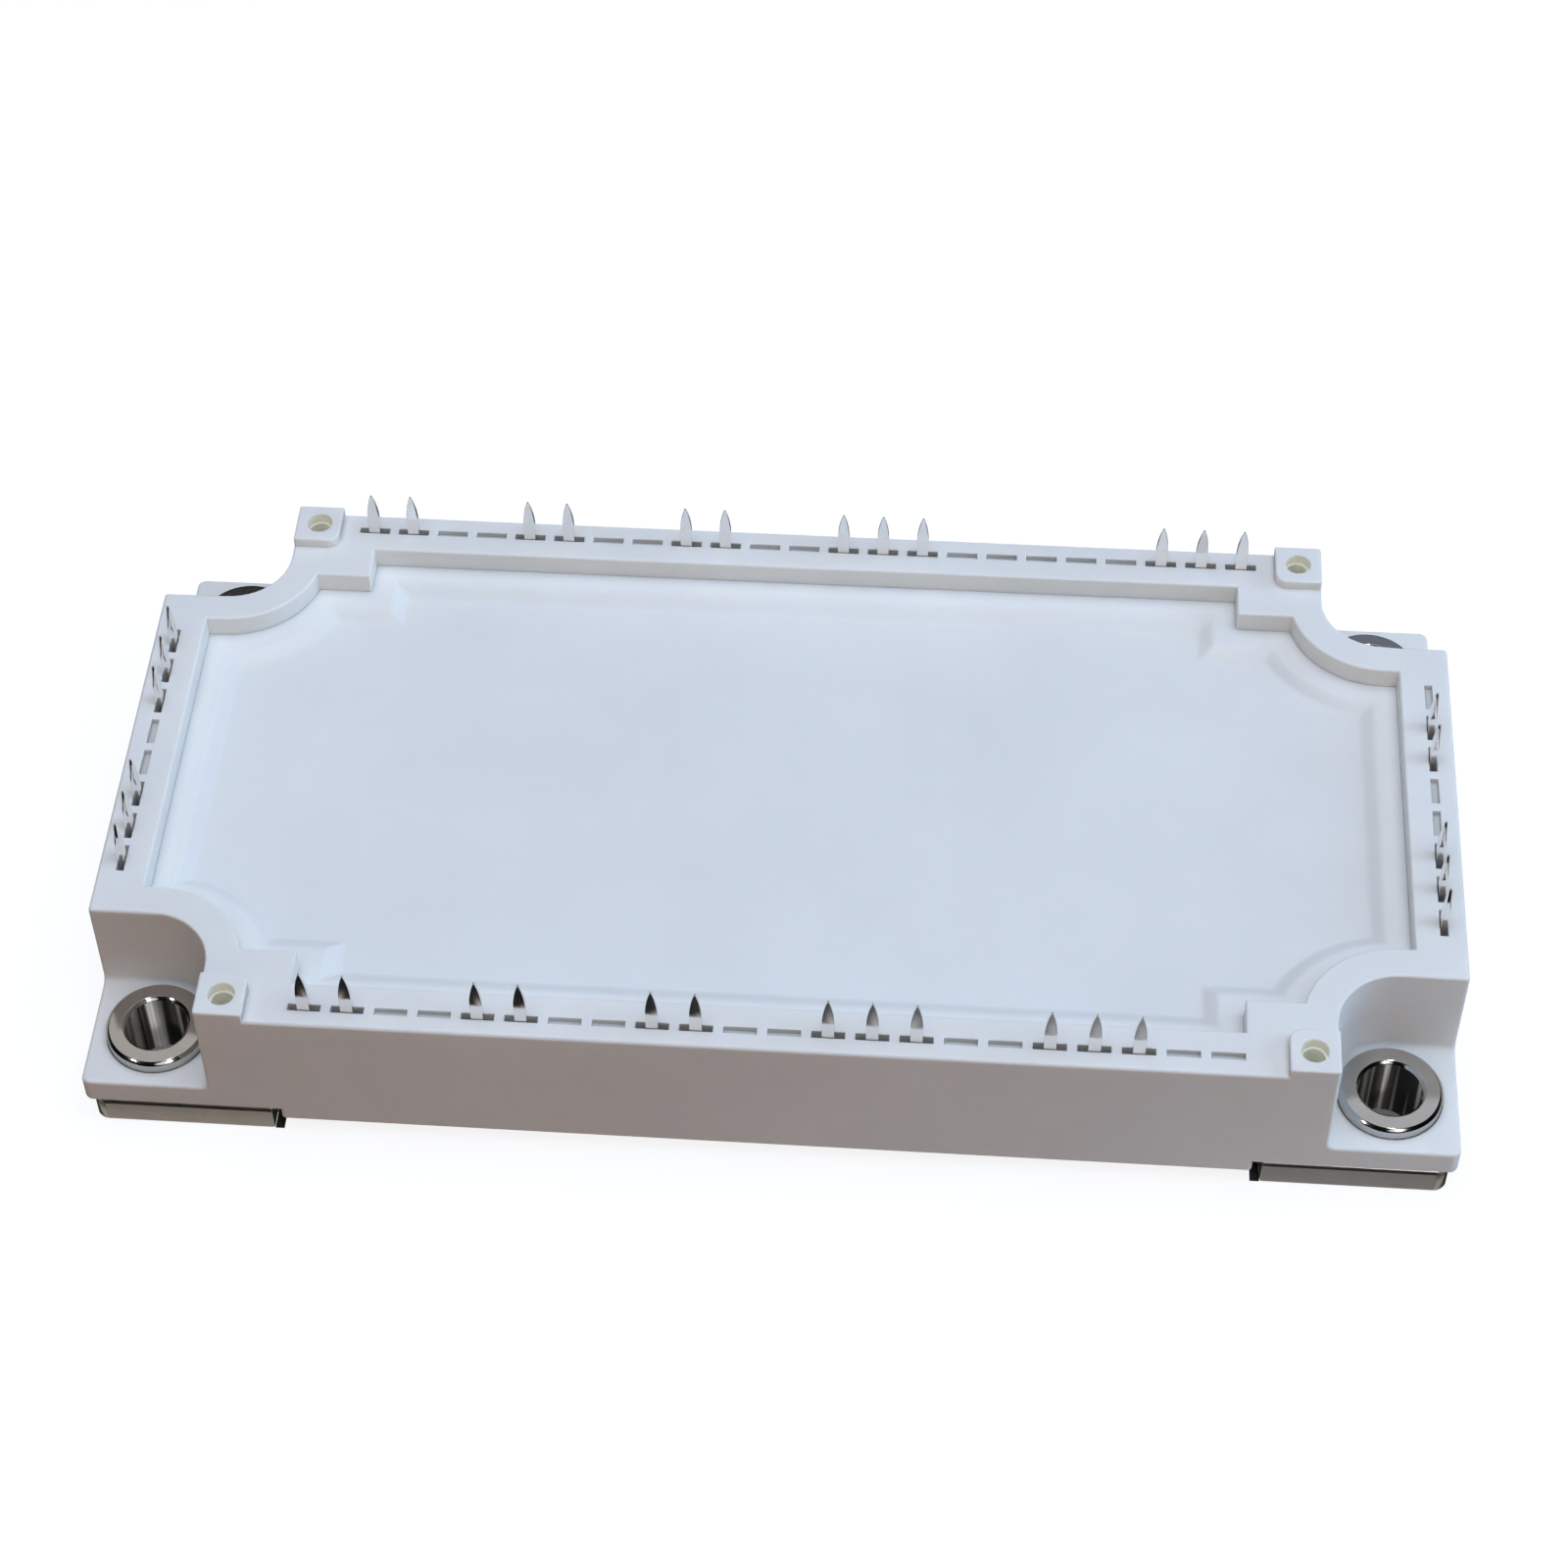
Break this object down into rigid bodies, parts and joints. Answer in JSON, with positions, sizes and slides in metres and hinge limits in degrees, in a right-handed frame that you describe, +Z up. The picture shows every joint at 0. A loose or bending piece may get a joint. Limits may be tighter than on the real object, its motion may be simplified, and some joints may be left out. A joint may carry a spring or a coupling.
{
  "type": "bridge rectifier module",
  "caption": "Flat power module: white moulded housing with rows of upright terminal pins on all sides, a sunk lid and corner flanges with bushed screw holes, on a metal base plate.",
  "frame": {"origin": "middle of the flat mounting face under the base plate", "axes": "+Z up out of the housing towards the pin tips, +X along the length, +Y towards the long side with the longer pin row"},
  "size_m": [0.122, 0.062, 0.0207],
  "materials": {
    "base_plate": "nickel-plated copper, satin",
    "housing_plastic": "white glass-filled polyester, moulded, fine matt texture",
    "lid_plastic": "white glass-filled polyester, moulded, fine matt texture",
    "bushing_metal": "nickel-plated steel, turned",
    "terminal_metal": "tin-plated copper, stamped",
    "copper_layer": "bare copper bonded to ceramic",
    "ceramic_layer": "alumina, as fired",
    "chip_silicon": "silicon with a metal face",
    "sensor_body": "sintered ceramic body",
    "wire_metal": "drawn aluminium wire",
    "gel": "clear soft silicone"
  },
  "bodies": {
    "root": {"base_plate": "base_plate", "housing_frame": "housing_plastic", "lid": "lid_plastic", "mounting_bushing_1": "bushing_metal", "mounting_bushing_2": "bushing_metal", "mounting_bushing_3": "bushing_metal", "mounting_bushing_4": "bushing_metal", "terminal_pin_1": "terminal_metal", "terminal_pin_2": "terminal_metal", "terminal_pin_3": "terminal_metal", "terminal_pin_4": "terminal_metal", "terminal_pin_5": "terminal_metal", "terminal_pin_6": "terminal_metal", "terminal_pin_7": "terminal_metal", "terminal_pin_8": "terminal_metal", "terminal_pin_9": "terminal_metal", "terminal_pin_10": "terminal_metal", "terminal_pin_11": "terminal_metal", "terminal_pin_12": "terminal_metal", "terminal_pin_13": "terminal_metal", "terminal_pin_14": "terminal_metal", "terminal_pin_15": "terminal_metal", "terminal_pin_16": "terminal_metal", "terminal_pin_17": "terminal_metal", "terminal_pin_18": "terminal_metal", "terminal_pin_19": "terminal_metal", "terminal_pin_20": "terminal_metal", "terminal_pin_21": "terminal_metal", "terminal_pin_22": "terminal_metal", "terminal_pin_23": "terminal_metal", "terminal_pin_24": "terminal_metal", "terminal_pin_25": "terminal_metal", "terminal_pin_26": "terminal_metal", "terminal_pin_27": "terminal_metal", "terminal_pin_28": "terminal_metal", "terminal_pin_29": "terminal_metal", "terminal_pin_30": "terminal_metal", "terminal_pin_31": "terminal_metal", "terminal_pin_32": "terminal_metal", "terminal_pin_33": "terminal_metal", "terminal_pin_34": "terminal_metal", "terminal_pin_35": "terminal_metal", "lower_copper_1": "copper_layer", "lower_copper_2": "copper_layer", "circuit_copper_1": "copper_layer", "circuit_copper_2": "copper_layer", "ceramic_substrate_1": "ceramic_layer", "ceramic_substrate_2": "ceramic_layer", "rectifier_chips": "chip_silicon", "switch_chips": "chip_silicon", "freewheel_chips": "chip_silicon", "brake_chips": "chip_silicon", "temperature_sensor": "sensor_body", "bond_wires": "wire_metal", "silicone_gel": "gel"}
  },
  "joints": []
}
